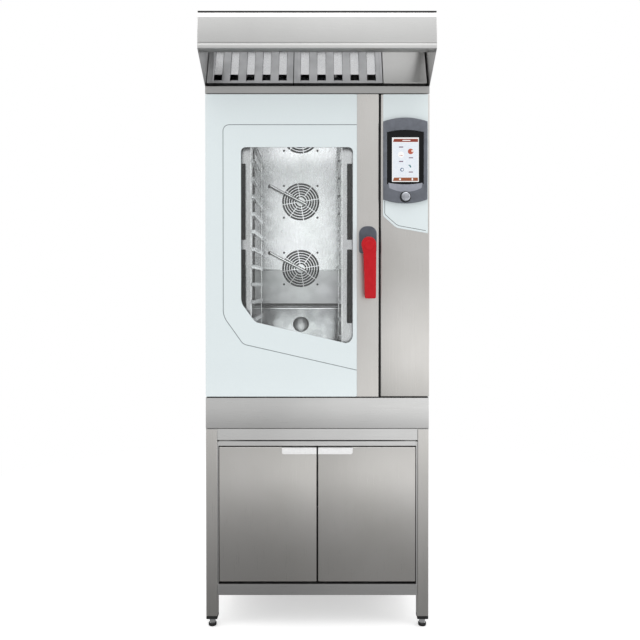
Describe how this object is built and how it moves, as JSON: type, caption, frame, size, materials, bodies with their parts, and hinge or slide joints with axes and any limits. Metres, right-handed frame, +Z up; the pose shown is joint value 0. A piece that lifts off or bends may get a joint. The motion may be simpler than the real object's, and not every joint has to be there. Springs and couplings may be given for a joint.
{
  "type": "combi steamer oven",
  "caption": "Tall combi steamer oven with a glass door, red lever handle and touch control column, under a steam hood with baffle filters, on a cabinet stand with levelling feet.",
  "frame": {"origin": "on the floor, under the middle of the outline, which runs from the hood's front edge to the end of the drain outlet", "axes": "+Z up, +X to the right of someone facing the door, -Y towards them, out of the door"},
  "size_m": [0.8, 1.04, 2.188],
  "materials": {
    "stainless": "stainless sheet, fine brushed, satin",
    "bright_steel": "stainless, bright",
    "polished_steel": "stainless, bright annealed",
    "heater_sheath": "nickel alloy sheath, dulled by heat",
    "cast_aluminium": "die cast, as cast",
    "printed_glass": "toughened glass, printed pale grey on its back, clear in the window",
    "clear_glass": "toughened glass, clear",
    "handle_base_plastic": "moulded, dark grey satin",
    "handle_red_plastic": "moulded, red, semi gloss",
    "zinc_steel": "zinc plated",
    "gasket_rubber": "silicone, matte",
    "bezel_plastic": "painted grey, semi gloss",
    "screen_glass": "black glass over a lit display",
    "knob_metal": "turned, satin",
    "circuit_board": "green solder mask",
    "foot_plastic": "moulded, black, around a steel stem"
  },
  "bodies": {
    "housing": {"bottom_shelf": "stainless", "cabinet_shell": "stainless", "cable_gland": "foot_plastic", "cavity_liner": "polished_steel", "control_bezel": "bezel_plastic", "control_fascia": "stainless", "controller_board": "circuit_board", "door_gasket": "gasket_rubber", "door_hinge_bottom": "zinc_steel", "door_hinge_top": "zinc_steel", "drain_pipe": "polished_steel", "drain_strainer": "polished_steel", "duct_collar": "zinc_steel", "extractor_fan": "zinc_steel", "fan_baffle": "polished_steel", "fan_motor_1": "cast_aluminium", "fan_motor_2": "cast_aluminium", "fan_motor_3": "cast_aluminium", "fascia_glass": "printed_glass", "flue_pipe": "polished_steel", "foot_front_left": "foot_plastic", "foot_front_right": "foot_plastic", "foot_rear_left": "foot_plastic", "foot_rear_right": "foot_plastic", "front_frame": "stainless", "heating_element": "heater_sheath", "hood_canopy": "stainless", "hood_cover_panel": "stainless", "hood_filter_left": "stainless", "hood_filter_right": "stainless", "leg_front_left": "stainless", "leg_front_right": "stainless", "leg_rear_left": "stainless", "leg_rear_right": "stainless", "oven_plinth": "stainless", "rack_left": "polished_steel", "rack_right": "polished_steel", "rear_panel": "stainless", "side_panel_left": "stainless", "side_panel_right": "stainless", "stand_deck": "stainless", "top_panel": "stainless", "touch_screen": "screen_glass", "water_manifold": "polished_steel"},
    "oven_door": {"door_frame": "stainless", "door_outer_glass": "printed_glass", "door_inner_glass": "clear_glass", "handle_stile": "stainless", "handle_rosette": "handle_base_plastic"},
    "door_handle": {"handle_lever": "handle_red_plastic", "latch_hook": "zinc_steel"},
    "fan_1": {"fan_wheel_1": "polished_steel"},
    "fan_2": {"fan_wheel_2": "polished_steel"},
    "fan_3": {"fan_wheel_3": "polished_steel"},
    "selector_push": {"selector_shaft": "zinc_steel"},
    "selector_knob": {"selector_knob": "knob_metal"},
    "cabinet_door_left": {"cabinet_door_left": "stainless", "door_pull_left": "bright_steel"},
    "cabinet_door_right": {"cabinet_door_right": "stainless", "door_pull_right": "bright_steel"}
  },
  "joints": [
    {"name": "oven_door_hinge", "type": "hinge", "parent": "housing", "child": "oven_door", "pos_m": [-0.384, -0.342, 1.37], "axis": [0, 0, -1], "range_deg": [0, 110]},
    {"name": "handle_turn", "type": "hinge", "parent": "oven_door", "child": "door_handle", "pos_m": [0.18, -0.37, 1.369], "axis": [0, 1, 0], "range_deg": [-90, 90]},
    {"name": "fan_1_spin", "type": "hinge", "parent": "housing", "child": "fan_1", "pos_m": [-0.078, 0.35, 1.304], "axis": [0, 1, 0], "continuous": true},
    {"name": "fan_2_spin", "type": "hinge", "parent": "housing", "child": "fan_2", "pos_m": [-0.078, 0.35, 1.607], "axis": [0, 1, 0], "continuous": true},
    {"name": "fan_3_spin", "type": "hinge", "parent": "housing", "child": "fan_3", "pos_m": [-0.078, 0.35, 1.91], "axis": [0, 1, 0], "continuous": true},
    {"name": "selector_press", "type": "slide", "parent": "housing", "child": "selector_push", "axis": [0, 1, 0], "range_m": [0, 0.0015], "stiffness_N_per_m": 800, "springref_m": -0.0005},
    {"name": "selector_turn", "type": "hinge", "parent": "selector_push", "child": "selector_knob", "pos_m": [0.312, -0.4, 1.542], "axis": [0, 1, 0], "continuous": true},
    {"name": "cabinet_door_left_hinge", "type": "hinge", "parent": "housing", "child": "cabinet_door_left", "pos_m": [-0.347, -0.361, 0.407], "axis": [0, 0, -1], "range_deg": [0, 105]},
    {"name": "cabinet_door_right_hinge", "type": "hinge", "parent": "housing", "child": "cabinet_door_right", "pos_m": [0.347, -0.361, 0.407], "axis": [0, 0, 1], "range_deg": [0, 105]}
  ]
}
